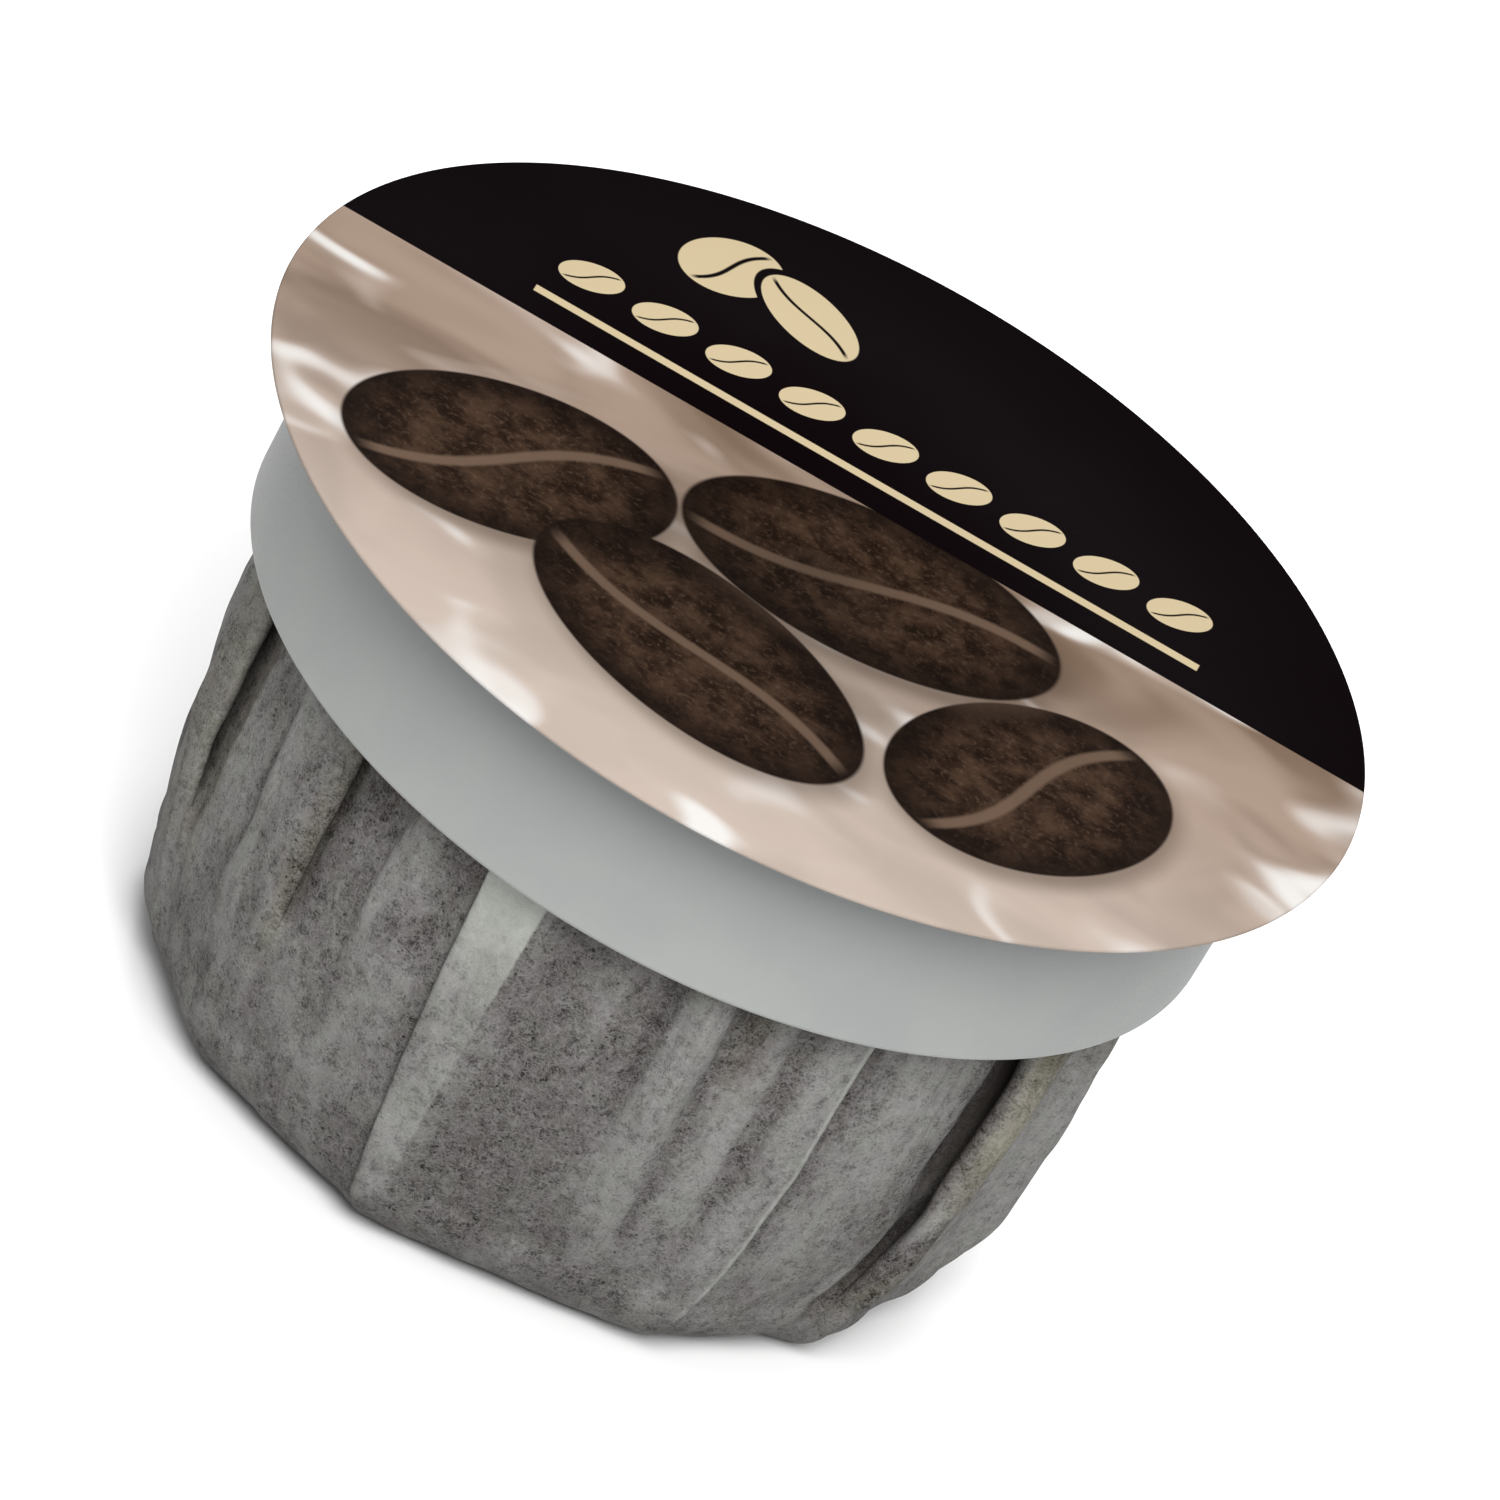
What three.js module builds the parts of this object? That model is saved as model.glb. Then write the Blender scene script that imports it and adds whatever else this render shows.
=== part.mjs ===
// A soft-bottomed single-serve coffee pod, in millimetres, standing upright with +Z up.
// The origin is the centre of the filter's flat base. A printed lid is sealed on the flange of a moulded ring,
// and a pleated cup of non-woven cloth, full of ground coffee, is bonded inside the ring's collar.
// Angles round the pod are in degrees from -Y, growing towards +X.
import * as THREE from "three";

// Overall size
const POD_HEIGHT = 29.6;

// Lid
const LID_DIAMETER = 51;
const LID_THICKNESS = 0.2;
const LID_SEGMENTS = 96;

// Ring: a flange that the lid is sealed on, and a collar that tapers down by its draft
const LID_OVERHANG = 0.5;
const FLANGE_THICKNESS = 0.35;
const COLLAR_DIAMETER = 45.4;
const COLLAR_HEIGHT = 8.35;
const COLLAR_WALL = 1.3;
const COLLAR_DRAFT = 0.2;
const EDGE_ROUND = 0.2;
const FLANGE_FILLET = 0.3;
const RING_SEGMENTS = 72;

// Filter: one sheet of cloth, with its upper hem inside the collar
const FIT_GAP = 0.3;
const CLOTH_THICKNESS = 0.25;
const LAYER_GAP = 0.2;
const HEM_HEIGHT = 6;
const BELLY_BULGE = 0.3;
const BASE_DIAMETER = 38.2;
const BASE_ROUND = 3.6;
const RAMP_DEGREES = 4;
const LAP_LEFT_AT_BASE = 0.4;
const PANEL_FLATNESS = 0.65;
const FADE_DEPTH = 0.5;
const FADED_RISE = 0.7;
const PLAIN_STEP_DEGREES = 7;
const BELLY_LEVELS = 5;
const ROUND_LEVELS = 3;

// Coffee: how far its top lies below the hem's upper edge
const COFFEE_BELOW_HEM = 0.8;
const COFFEE_SEGMENTS = 60;

// Each knife pleat has a fold edge that shows, and a lap, the angle from that edge to the hidden fold behind it.
// A pleat with a positive lap is open to the left, and one with a negative lap to the right.
// It stays folded down to its end, and fades to a low ridge below: 0 is the collar's lower edge, and 1 is where
// the base's round edge starts.
// The panels of cloth between the pleats that are corners pull flat towards the base.
const PLEATS = [
  { edge: -167, lap: 3.5, end: 0.6 },
  { edge: -150, lap: 7.5, end: 1, corner: true },
  { edge: -122, lap: -8, end: 1, corner: true },
  { edge: -110, lap: 3.5, end: 0.5 },
  { edge: -93, lap: 7, end: 1, corner: true },
  { edge: -65, lap: -8, end: 1, corner: true },
  { edge: -37, lap: -7.5, end: 1, corner: true },
  { edge: -26.5, lap: 3, end: 0.4 },
  { edge: -15, lap: 8, end: 1, corner: true },
  { edge: 10.5, lap: 7.5, end: 1 },
  { edge: 36.5, lap: -7.5, end: 1, corner: true },
  { edge: 47, lap: 3, end: 0.5 },
  { edge: 60, lap: 7, end: 1, corner: true },
  { edge: 85, lap: -7, end: 1, corner: true },
  { edge: 98, lap: 7, end: 0.8 },
  { edge: 127, lap: -7.5, end: 1, corner: true },
  { edge: 142, lap: 8, end: 1 },
  { edge: 171, lap: -7, end: 1, corner: true },
];

// Heights and radii that follow from the driving dimensions
const flangeTop = POD_HEIGHT - LID_THICKNESS;
const flangeRadius = LID_DIAMETER / 2 - LID_OVERHANG;
const collarBottom = flangeTop - FLANGE_THICKNESS - COLLAR_HEIGHT;
const collarRadiusBelow = COLLAR_DIAMETER / 2 - COLLAR_DRAFT;
const layerPitch = CLOTH_THICKNESS + LAYER_GAP;
const hemTop = collarBottom + HEM_HEIGHT;
const hemRadius = collarRadiusBelow - COLLAR_WALL - FIT_GAP - 2 * layerPitch - CLOTH_THICKNESS / 2;
const baseRadius = BASE_DIAMETER / 2;

const radians = THREE.MathUtils.degToRad;

// The arc length in millimetres, at a radius, as an angle in degrees.
function degreesOf(length, radius) {
  return THREE.MathUtils.radToDeg(length / radius);
}

// A point at an angle from -Y, a radius and a height.
function polar(angle, radius, z) {
  return new THREE.Vector3(radius * Math.sin(radians(angle)), -radius * Math.cos(radians(angle)), z);
}

// Revolves a profile of (radius, height) points about Z. The profile runs anticlockwise and closes on itself,
// or starts and ends on the axis.
function revolve(profile, segments) {
  return new THREE.LatheGeometry(profile, segments).rotateX(Math.PI / 2);
}

// A round corner of a profile: points on an arc about (x, y), from one angle to another.
function roundCorner(x, y, radius, from, to, steps = 2) {
  const arc = new THREE.EllipseCurve(x, y, radius, radius, radians(from), radians(to), to < from);
  return arc.getPoints(steps);
}

function lidGeometry() {
  const radius = LID_DIAMETER / 2;
  return revolve(
    [
      new THREE.Vector2(0, flangeTop),
      new THREE.Vector2(radius, flangeTop),
      new THREE.Vector2(radius, POD_HEIGHT),
      new THREE.Vector2(0, POD_HEIGHT),
    ],
    LID_SEGMENTS,
  );
}

function ringGeometry() {
  const flangeBottom = flangeTop - FLANGE_THICKNESS;
  const collarRadius = COLLAR_DIAMETER / 2;
  const boreAbove = collarRadius - COLLAR_WALL;
  const boreBelow = collarRadiusBelow - COLLAR_WALL;
  const round = EDGE_ROUND;
  const fillet = FLANGE_FILLET;
  const profile = [
    ...roundCorner(boreBelow + round, collarBottom + round, round, 180, 270),
    ...roundCorner(collarRadiusBelow - round, collarBottom + round, round, 270, 360),
    ...roundCorner(collarRadius + fillet, flangeBottom - fillet, fillet, 180, 90),
    ...roundCorner(flangeRadius - round, flangeBottom + round, round, 270, 360),
    new THREE.Vector2(flangeRadius, flangeTop),
    ...roundCorner(boreAbove + round, flangeTop - round, round, 90, 180),
  ];
  profile.push(profile[0].clone());
  return revolve(profile, RING_SEGMENTS);
}

// A surface in section from a top height down to the base, at an inset from the cloth's middle surface, as levels.
// depth is 0 at the collar's lower edge, 1 where the base's round edge starts, and greater round that edge.
function sectionLevels(top, inset) {
  const roundStart = CLOTH_THICKNESS / 2 + BASE_ROUND;
  const drop = collarBottom - roundStart;
  const belly = new THREE.CubicBezierCurve(
    new THREE.Vector2(hemRadius, collarBottom),
    new THREE.Vector2(hemRadius + BELLY_BULGE, collarBottom - drop / 3),
    new THREE.Vector2(hemRadius + BELLY_BULGE, collarBottom - (drop * 3) / 4),
    new THREE.Vector2(baseRadius, roundStart),
  );
  const levels = [{ radius: hemRadius - inset, z: top, depth: 0 }];
  belly.getPoints(BELLY_LEVELS).forEach((point, i) => {
    levels.push({ radius: point.x - inset, z: point.y, depth: i / BELLY_LEVELS });
  });
  const round = roundCorner(baseRadius - BASE_ROUND, roundStart, BASE_ROUND - inset, 360, 270, ROUND_LEVELS);
  round.slice(1).forEach((point, i) => {
    levels.push({ radius: point.x, z: point.y, depth: 1 + (FADE_DEPTH * (i + 1)) / ROUND_LEVELS });
  });
  levels.at(-1).onBase = true;
  return levels;
}

// How far the panels between corner pleats pull in at an angle and depth, as a share of the radius.
function panelShare(angle, depth) {
  const corners = PLEATS.filter((pleat) => pleat.corner).map((pleat) => pleat.edge + pleat.lap / 2);
  const wrapped = THREE.MathUtils.euclideanModulo(angle - corners[0], 360) + corners[0];
  const next = corners.findIndex((corner) => corner > wrapped);
  const before = corners.at(next < 0 ? -1 : next - 1);
  const after = next < 0 ? corners[0] + 360 : corners[next];
  const chord = Math.cos(radians((after - before) / 2)) / Math.cos(radians(wrapped - (before + after) / 2));
  return 1 - PANEL_FLATNESS * Math.min(depth, 1) ** 2 * (1 - chord);
}

// Where the points of a spread pleat lie, from its fold edge, in half layer pitches.
const RIDGE_STEPS = [-4, -2, -1.4, -0.8, -0.2, 0.4, 1, 2];

// One pleat at a level, as [angle, height above the plain cloth] pairs in order of angle along the sheet.
// The top layer climbs a ramp, runs over the lap to the fold edge, turns back under itself to the hidden fold,
// and turns again to go on as plain cloth. Below its end the pleat is spread out to a ridge that dies away.
function pleatSection(pleat, level) {
  const facing = -Math.sign(pleat.lap);
  const taper = 1 - (1 - LAP_LEFT_AT_BASE) * level.depth;
  const lap = Math.abs(pleat.lap) * taper;
  const tip = degreesOf(layerPitch / 2, hemRadius);
  const start = -Math.abs(pleat.lap) - RAMP_DEGREES;
  const section = [
    [start, 0],
    [-lap, 2 * layerPitch],
    [0, 2 * layerPitch],
    [tip, 1.5 * layerPitch],
    [0, layerPitch],
    [-lap, layerPitch],
    [-lap - tip, 0.5 * layerPitch],
    [-lap, 0],
    [2 * tip, 0],
  ];
  const left = FADED_RISE * Math.max(0, 1 - (level.depth - pleat.end) / FADE_DEPTH);
  const ridge = [start, ...RIDGE_STEPS.map((step) => step * tip)];
  const spread = section.map(([, rise], i) => [ridge[i], rise * left]);
  const laid = level.depth <= pleat.end ? section : spread;
  const placed = laid.map(([angle, rise]) => [pleat.edge + facing * angle, rise]);
  return facing > 0 ? placed : placed.reverse();
}

// The whole cloth at a level: every pleat, with plain steps between one pleat and the next.
function clothSection(level) {
  const sections = PLEATS.map((pleat) => pleatSection(pleat, level));
  const around = [];
  sections.forEach((section, i) => {
    around.push(...section);
    const from = section.at(-1)[0];
    const wrap = i === sections.length - 1 ? 360 : 0;
    const to = sections[(i + 1) % sections.length][0][0] + wrap;
    const steps = Math.max(1, Math.round((to - from) / PLAIN_STEP_DEGREES));
    for (let step = 1; step < steps; step++) around.push([from + ((to - from) * step) / steps, 0]);
  });
  return around;
}

// Points of the cloth's middle surface at a level.
function clothPoints(level) {
  return clothSection(level).map(([angle, rise]) => {
    const radius = level.radius * panelShare(angle, level.depth) + rise;
    return polar(angle, radius, level.z);
  });
}

// Normals of a grid of points, rows from the top down and columns round the pod, pointing out of the pod.
function gridNormals(rows, levels) {
  return rows.map((row, r) =>
    row.map((_, c) => {
      if (levels[r].onBase) return new THREE.Vector3(0, 0, -1);
      const next = row[(c + 1) % row.length];
      const previous = row[(c + row.length - 1) % row.length];
      const above = rows[Math.max(r - 1, 0)][c];
      const below = rows[Math.min(r + 1, rows.length - 1)][c];
      const along = new THREE.Vector3().subVectors(next, previous);
      const down = new THREE.Vector3().subVectors(below, above);
      return down.cross(along).normalize();
    }),
  );
}

// Adds the triangles of a grid that starts at vertex first and closes on a centre vertex below its last row.
function addSkin(indices, first, rowCount, columns, centre, facesIn) {
  const add = (a, b, c) => indices.push(...(facesIn ? [a, c, b] : [a, b, c]));
  for (let c = 0; c < columns; c++) {
    const d = (c + 1) % columns;
    for (let r = 0; r < rowCount - 1; r++) {
      const here = first + r * columns;
      const under = here + columns;
      add(here + c, under + c, under + d);
      add(here + c, under + d, here + d);
    }
    const lastRow = first + (rowCount - 1) * columns;
    add(lastRow + c, centre, lastRow + d);
  }
}

// A geometry from points and the triangles between them.
function meshOf(points, indices) {
  return new THREE.BufferGeometry().setFromPoints(points).setIndex(indices);
}

// The pleated cup: its middle surface is thickened to both sides, closed by a rim at the hem.
function filterGeometry() {
  const levels = sectionLevels(hemTop, 0);
  const rows = levels.map(clothPoints);
  const normals = gridNormals(rows, levels);
  const columns = rows[0].length;
  const half = CLOTH_THICKNESS / 2;
  const skin = (side) => rows.flatMap((row, r) => row.map((p, c) => p.clone().addScaledVector(normals[r][c], side)));
  const outside = skin(half);
  const inside = skin(-half);
  const points = [...outside, ...inside, new THREE.Vector3(0, 0, 0), new THREE.Vector3(0, 0, CLOTH_THICKNESS)];
  const indices = [];
  addSkin(indices, 0, rows.length, columns, points.length - 2, false);
  addSkin(indices, outside.length, rows.length, columns, points.length - 1, true);
  for (let c = 0; c < columns; c++) {
    const d = (c + 1) % columns;
    indices.push(c, d, outside.length + d, c, outside.length + d, outside.length + c);
  }
  return meshOf(points, indices);
}

// The coffee fills the cup up to a level top, a gap inside the plain cloth.
function coffeeGeometry() {
  const levels = sectionLevels(hemTop - COFFEE_BELOW_HEM, CLOTH_THICKNESS / 2 + FIT_GAP);
  const columns = COFFEE_SEGMENTS;
  const points = [];
  for (const level of levels) {
    for (let c = 0; c < columns; c++) {
      const angle = (360 / columns) * c;
      points.push(polar(angle, level.radius * panelShare(angle, level.depth), level.z));
    }
  }
  const bottom = points.push(new THREE.Vector3(0, 0, levels.at(-1).z)) - 1;
  const top = points.push(new THREE.Vector3(0, 0, levels[0].z)) - 1;
  const indices = [];
  addSkin(indices, 0, levels.length, columns, bottom, false);
  for (let c = 0; c < columns; c++) indices.push(top, c, (c + 1) % columns);
  return meshOf(points, indices);
}

// A named mesh with its own material.
function piece(name, geometry, color, roughness) {
  geometry.computeVertexNormals();
  const mesh = new THREE.Mesh(geometry, new THREE.MeshStandardMaterial({ color, roughness, metalness: 0 }));
  mesh.name = name;
  return mesh;
}

const pod = new THREE.Group();
pod.add(piece("lid", lidGeometry(), 0xa8988a, 0.4));
pod.add(piece("ring", ringGeometry(), 0xb4baba, 0.5));
pod.add(piece("filter", filterGeometry(), 0x8b8984, 0.95));
pod.add(piece("coffee", coffeeGeometry(), 0x3a2a20, 1));

export default pod;
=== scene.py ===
"""Looks of a soft-bottomed coffee pod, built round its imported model."""
import math

import bpy
import numpy as np
from mathutils import Matrix, Vector, noise


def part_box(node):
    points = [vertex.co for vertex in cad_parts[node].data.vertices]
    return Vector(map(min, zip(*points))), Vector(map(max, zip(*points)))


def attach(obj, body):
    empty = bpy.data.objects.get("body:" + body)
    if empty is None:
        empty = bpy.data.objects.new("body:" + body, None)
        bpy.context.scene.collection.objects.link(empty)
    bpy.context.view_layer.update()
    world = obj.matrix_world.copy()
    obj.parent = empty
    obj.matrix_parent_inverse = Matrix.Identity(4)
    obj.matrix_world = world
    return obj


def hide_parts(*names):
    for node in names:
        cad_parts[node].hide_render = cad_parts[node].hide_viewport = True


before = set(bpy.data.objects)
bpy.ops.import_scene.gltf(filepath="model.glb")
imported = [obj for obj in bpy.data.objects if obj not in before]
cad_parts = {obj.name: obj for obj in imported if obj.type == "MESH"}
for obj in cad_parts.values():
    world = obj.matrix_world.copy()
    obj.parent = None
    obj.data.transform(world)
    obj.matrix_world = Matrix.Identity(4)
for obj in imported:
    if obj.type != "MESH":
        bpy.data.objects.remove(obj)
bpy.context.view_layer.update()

MM = 0.001


def corner_mm(node, which):
    """A corner of a node's box at rest, in millimetres: 0 is the lowest and 1 the highest."""
    return Vector(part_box(node)[which]) / MM


# Sizes that the frame gives, in millimetres
POD_HEIGHT = corner_mm("lid", 1).z
LID_RADIUS = corner_mm("lid", 1).x
LID_BOTTOM = corner_mm("lid", 0).z
FLANGE_RADIUS = corner_mm("ring", 1).x
COLLAR_BOTTOM = corner_mm("ring", 0).z
HEM_TOP = corner_mm("filter", 1).z

# Sizes that the frame doesn't give, in millimetres, as the solids have them
FLANGE_THICKNESS = 0.35
COLLAR_RADIUS = 22.7
COLLAR_DRAFT = 0.2
COLLAR_WALL = 1.3
CLOTH = 0.16
LAYER_PITCH = 0.42
HEM_RADIUS = 19.9
BELLY_BULGE = 0.3
BASE_RADIUS = 19.1
BASE_ROUND = 3.6

# The photograph's view
IMAGE_SIZE = 1500
SENSOR_MM = 36.0
VIEW_ELEVATION = 29.9
VIEW_LEAN = 29.46
VIEW_DISTANCE = 1200.0
VIEW_END_M = 20
PIXELS_PER_MM = 23.73
LID_CENTRE_RIGHT_PX = -35.5
LID_CENTRE_UP_PX = 208.5

# The white room's light at the horizon and overhead, its brighter side, and the shares of that light on this
# side and on the other
HORIZON_LIGHT = 0.1
OVERHEAD_LIGHT = 1.3
BRIGHT_SIDE = (0.4, -0.92, 0)
BRIGHT_SHARE = 1.45
DIM_SHARE = 0.65

# The lamps: name, place and size in metres, and power in watts
LAMPS = [
    ("key", (0.06, -0.42, 0.46), 0.34, 5.1),
    ("fill", (0.42, -0.25, 0.16), 0.4, 0.25),
    ("back", (-0.1, 0.34, 0.58), 0.4, 3.4),
]
LAMP_AIM = (0, 0, 0.015)
FLOOR_WIDTH = 6
FLOOR_GREY = 0.67

# About how much light each part of the pod gets
LIGHT_ON_RING = 1.97
LIGHT_ON_LID = 2.7
LIGHT_ON_CLOTH = 2.04


# Helpers for placing things


def polar(angle, radius, z):
    """A point in millimetres at an angle in degrees from -Y towards +X."""
    a = math.radians(angle)
    return Vector((radius * math.sin(a), -radius * math.cos(a), z))


def smooth(value, low, high):
    """0 below low, 1 above high, and a smooth step between."""
    t = min(1.0, max(0.0, (value - low) / (high - low)))
    return t * t * (3.0 - 2.0 * t)


def mesh_object(name, points_mm, faces):
    """A smooth-shaded piece from points in millimetres."""
    mesh = bpy.data.meshes.new(name)
    mesh.from_pydata((np.asarray(points_mm) * MM).tolist(), [], faces)
    mesh.shade_smooth()
    piece = bpy.data.objects.new(name, mesh)
    bpy.context.collection.objects.link(piece)
    return piece


def lathe(name, profile, segments):
    """Revolves a closed profile of (radius, z) pairs in millimetres, anticlockwise, into a ring."""
    rows = len(profile)
    points = [polar(360 * s / segments, r, z) for s in range(segments) for r, z in profile]
    faces = []
    for s in range(segments):
        here = s * rows
        there = ((s + 1) % segments) * rows
        for i in range(rows):
            j = (i + 1) % rows
            faces.append((here + i, there + i, there + j, here + j))
    return mesh_object(name, points, faces)


def arc(x, z, radius, start, end, steps=6):
    """Points of an arc of a profile about (x, z), with angles in degrees."""
    turns = [math.radians(start + (end - start) * i / steps) for i in range(steps + 1)]
    return [(x + radius * math.cos(t), z + radius * math.sin(t)) for t in turns]


# Camera, lights and floor


def add_camera():
    """The photograph's view: the lid's centre lands where it is in the picture, and the picture leans."""
    elevation = math.radians(VIEW_ELEVATION)
    lean = math.radians(VIEW_LEAN)
    forward = Vector((0, math.cos(elevation), -math.sin(elevation)))
    right = Vector((1, 0, 0))
    up = right.cross(forward)
    aim = Vector((0, 0, POD_HEIGHT)) - (right * LID_CENTRE_RIGHT_PX + up * LID_CENTRE_UP_PX) / PIXELS_PER_MM
    image_right = right * math.cos(lean) + up * math.sin(lean)
    image_up = up * math.cos(lean) - right * math.sin(lean)
    data = bpy.data.cameras.new("camera")
    data.sensor_width = SENSOR_MM
    data.lens = SENSOR_MM * VIEW_DISTANCE * PIXELS_PER_MM / IMAGE_SIZE
    data.clip_end = VIEW_END_M
    camera = bpy.data.objects.new("camera", data)
    turn = Matrix((image_right, image_up, -forward)).transposed().to_4x4()
    camera.matrix_world = Matrix.Translation((aim - forward * VIEW_DISTANCE) * MM) @ turn
    bpy.context.collection.objects.link(camera)
    bpy.context.scene.camera = camera


def add_lamp(name, place, size, power):
    """A round soft lamp that faces the pod."""
    data = bpy.data.lights.new(name, "AREA")
    data.shape = "DISK"
    data.size = size
    data.energy = power
    light = bpy.data.objects.new(name, data)
    light.location = place
    light.rotation_euler = (Vector(LAMP_AIM) - Vector(place)).to_track_quat("-Z", "Y").to_euler()
    bpy.context.collection.objects.link(light)


def add_world():
    """A soft white room, brighter overhead than at the horizon, and on one side than on the other."""
    world = bpy.data.worlds.new("studio")
    world.use_nodes = True
    tree = world.node_tree
    direction = tree.nodes.new("ShaderNodeTexCoord")
    split = tree.nodes.new("ShaderNodeSeparateXYZ")
    tree.links.new(direction.outputs["Generated"], split.inputs[0])
    upward = tree.nodes.new("ShaderNodeMapRange")
    upward.inputs["To Min"].default_value = HORIZON_LIGHT
    upward.inputs["To Max"].default_value = OVERHEAD_LIGHT
    tree.links.new(split.outputs["Z"], upward.inputs["Value"])
    towards = tree.nodes.new("ShaderNodeVectorMath")
    towards.operation = "DOT_PRODUCT"
    towards.inputs[1].default_value = BRIGHT_SIDE
    tree.links.new(direction.outputs["Generated"], towards.inputs[0])
    side = tree.nodes.new("ShaderNodeMapRange")
    side.inputs["From Min"].default_value = -1
    side.inputs["To Min"].default_value = DIM_SHARE
    side.inputs["To Max"].default_value = BRIGHT_SHARE
    tree.links.new(towards.outputs["Value"], side.inputs["Value"])
    strength = tree.nodes.new("ShaderNodeMath")
    strength.operation = "MULTIPLY"
    tree.links.new(upward.outputs[0], strength.inputs[0])
    tree.links.new(side.outputs[0], strength.inputs[1])
    tree.links.new(strength.outputs[0], tree.nodes["Background"].inputs["Strength"])
    tree.nodes["Background"].inputs["Color"].default_value = (1, 1, 1, 1)
    bpy.context.scene.world = world


def add_studio():
    """The lamps, the room and the white floor."""
    for lamp in LAMPS:
        add_lamp(*lamp)
    add_world()
    bpy.ops.mesh.primitive_plane_add(size=FLOOR_WIDTH)
    floor = bpy.context.object
    floor.name = "floor"
    paint = Shader("floor_white")
    paint.set("Base Color", (FLOOR_GREY, FLOOR_GREY, FLOOR_GREY, 1))
    paint.set("Roughness", 0.9)
    paint.set("Specular IOR Level", 0.1)
    paint.wear(floor)


# Node trees


class Shader:
    """A material with short calls that each add a node and give back its output."""

    def __init__(self, name):
        self.material = bpy.data.materials.new(name)
        self.material.use_nodes = True
        self.tree = self.material.node_tree
        self.surface = self.tree.nodes["Principled BSDF"]

    def feed(self, socket, value):
        """Links an output to a socket, or sets a plain value on it."""
        if isinstance(value, bpy.types.NodeSocket):
            self.tree.links.new(value, socket)
        else:
            socket.default_value = value

    def set(self, socket, value):
        """The same for a socket of the surface, by its name."""
        self.feed(self.surface.inputs[socket], value)

    def wear(self, piece):
        piece.data.materials.clear()
        piece.data.materials.append(self.material)

    def place(self):
        """Where the surface is, in millimetres."""
        where = self.tree.nodes.new("ShaderNodeTexCoord").outputs["Object"]
        return self.stretch(where, (1 / MM, 1 / MM, 1 / MM))

    def vector(self, operation, a, b=(0, 0, 0)):
        node = self.tree.nodes.new("ShaderNodeVectorMath")
        node.operation = operation
        self.feed(node.inputs[0], a)
        self.feed(node.inputs[1], b)
        return node.outputs["Value" if operation == "LENGTH" else "Vector"]

    def axes(self, vector):
        node = self.tree.nodes.new("ShaderNodeSeparateXYZ")
        self.feed(node.inputs[0], vector)
        return node.outputs[:3]

    def math(self, operation, a, b=0.0):
        node = self.tree.nodes.new("ShaderNodeMath")
        node.operation = operation
        self.feed(node.inputs[0], a)
        self.feed(node.inputs[1], b)
        return node.outputs[0]

    def add(self, a, b):
        return self.math("ADD", a, b)

    def times(self, a, b):
        return self.math("MULTIPLY", a, b)

    def sway(self, value, amount):
        """A noise about its middle, times an amount."""
        return self.times(self.math("SUBTRACT", value, 0.5), amount)

    def apart(self, a, b):
        """How far two values are from each other."""
        return self.math("ABSOLUTE", self.math("SUBTRACT", a, b))

    def shift(self, vector, offset):
        return self.vector("ADD", vector, offset)

    def local(self, vector, centre, turn, size):
        """The vector as seen from a shape's own centre, turned by degrees and divided by its half sizes."""
        node = self.tree.nodes.new("ShaderNodeMapping")
        node.vector_type = "TEXTURE"
        self.feed(node.inputs["Vector"], vector)
        node.inputs["Location"].default_value = (*centre, 0)
        node.inputs["Rotation"].default_value = (0, 0, math.radians(turn))
        node.inputs["Scale"].default_value = (*size, 1)
        return node.outputs[0]

    def stretch(self, vector, factors):
        return self.vector("MULTIPLY", vector, factors)

    def noise(self, vector, size, detail=2.0, roughness=0.5, distortion=0.0):
        """Smooth noise from 0 to 1, with blots of about the size given, in millimetres."""
        node = self.tree.nodes.new("ShaderNodeTexNoise")
        self.feed(node.inputs["Vector"], vector)
        node.inputs["Scale"].default_value = 1 / size
        node.inputs["Detail"].default_value = detail
        node.inputs["Roughness"].default_value = roughness
        node.inputs["Distortion"].default_value = distortion
        return node.outputs["Fac"]

    def cells(self, vector, size):
        """How far the nearest of scattered points is, in cells of about the size given."""
        node = self.tree.nodes.new("ShaderNodeTexVoronoi")
        self.feed(node.inputs["Vector"], vector)
        node.inputs["Scale"].default_value = 1 / size
        return node.outputs["Distance"]

    def step(self, value, low, high, start=0.0, end=1.0):
        """start where the value is below low, end where it is above high, and smooth between."""
        node = self.tree.nodes.new("ShaderNodeMapRange")
        node.interpolation_type = "SMOOTHSTEP"
        self.feed(node.inputs["Value"], value)
        node.inputs["From Min"].default_value = low
        node.inputs["From Max"].default_value = high
        node.inputs["To Min"].default_value = start
        node.inputs["To Max"].default_value = end
        return node.outputs[0]

    def mix(self, share, a, b):
        """Colour a where the share is 0, and b where it is 1."""
        node = self.tree.nodes.new("ShaderNodeMix")
        node.data_type = "RGBA"
        self.feed(node.inputs[0], share)
        self.feed(node.inputs[6], a)
        self.feed(node.inputs[7], b)
        return node.outputs[2]

    def attribute(self, name):
        node = self.tree.nodes.new("ShaderNodeAttribute")
        node.attribute_name = name
        return node.outputs["Fac"]

    def bump(self, height, depth_mm, strength=1.0):
        node = self.tree.nodes.new("ShaderNodeBump")
        node.inputs["Strength"].default_value = strength
        node.inputs["Distance"].default_value = depth_mm * MM
        self.feed(node.inputs["Height"], height)
        self.set("Normal", node.outputs[0])


def tone(red, green, blue, light=1.0):
    """The surface's own linear colour for one, 0 to 255, that shows so on a screen in the light given."""

    def linear(c):
        c /= 255
        return (c / 12.92 if c <= 0.04045 else ((c + 0.055) / 1.055) ** 2.4) / light

    return (linear(red), linear(green), linear(blue), 1.0)


def on_ring(red, green, blue):
    return tone(red, green, blue, LIGHT_ON_RING)


def on_lid(red, green, blue):
    return tone(red, green, blue, LIGHT_ON_LID)


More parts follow.
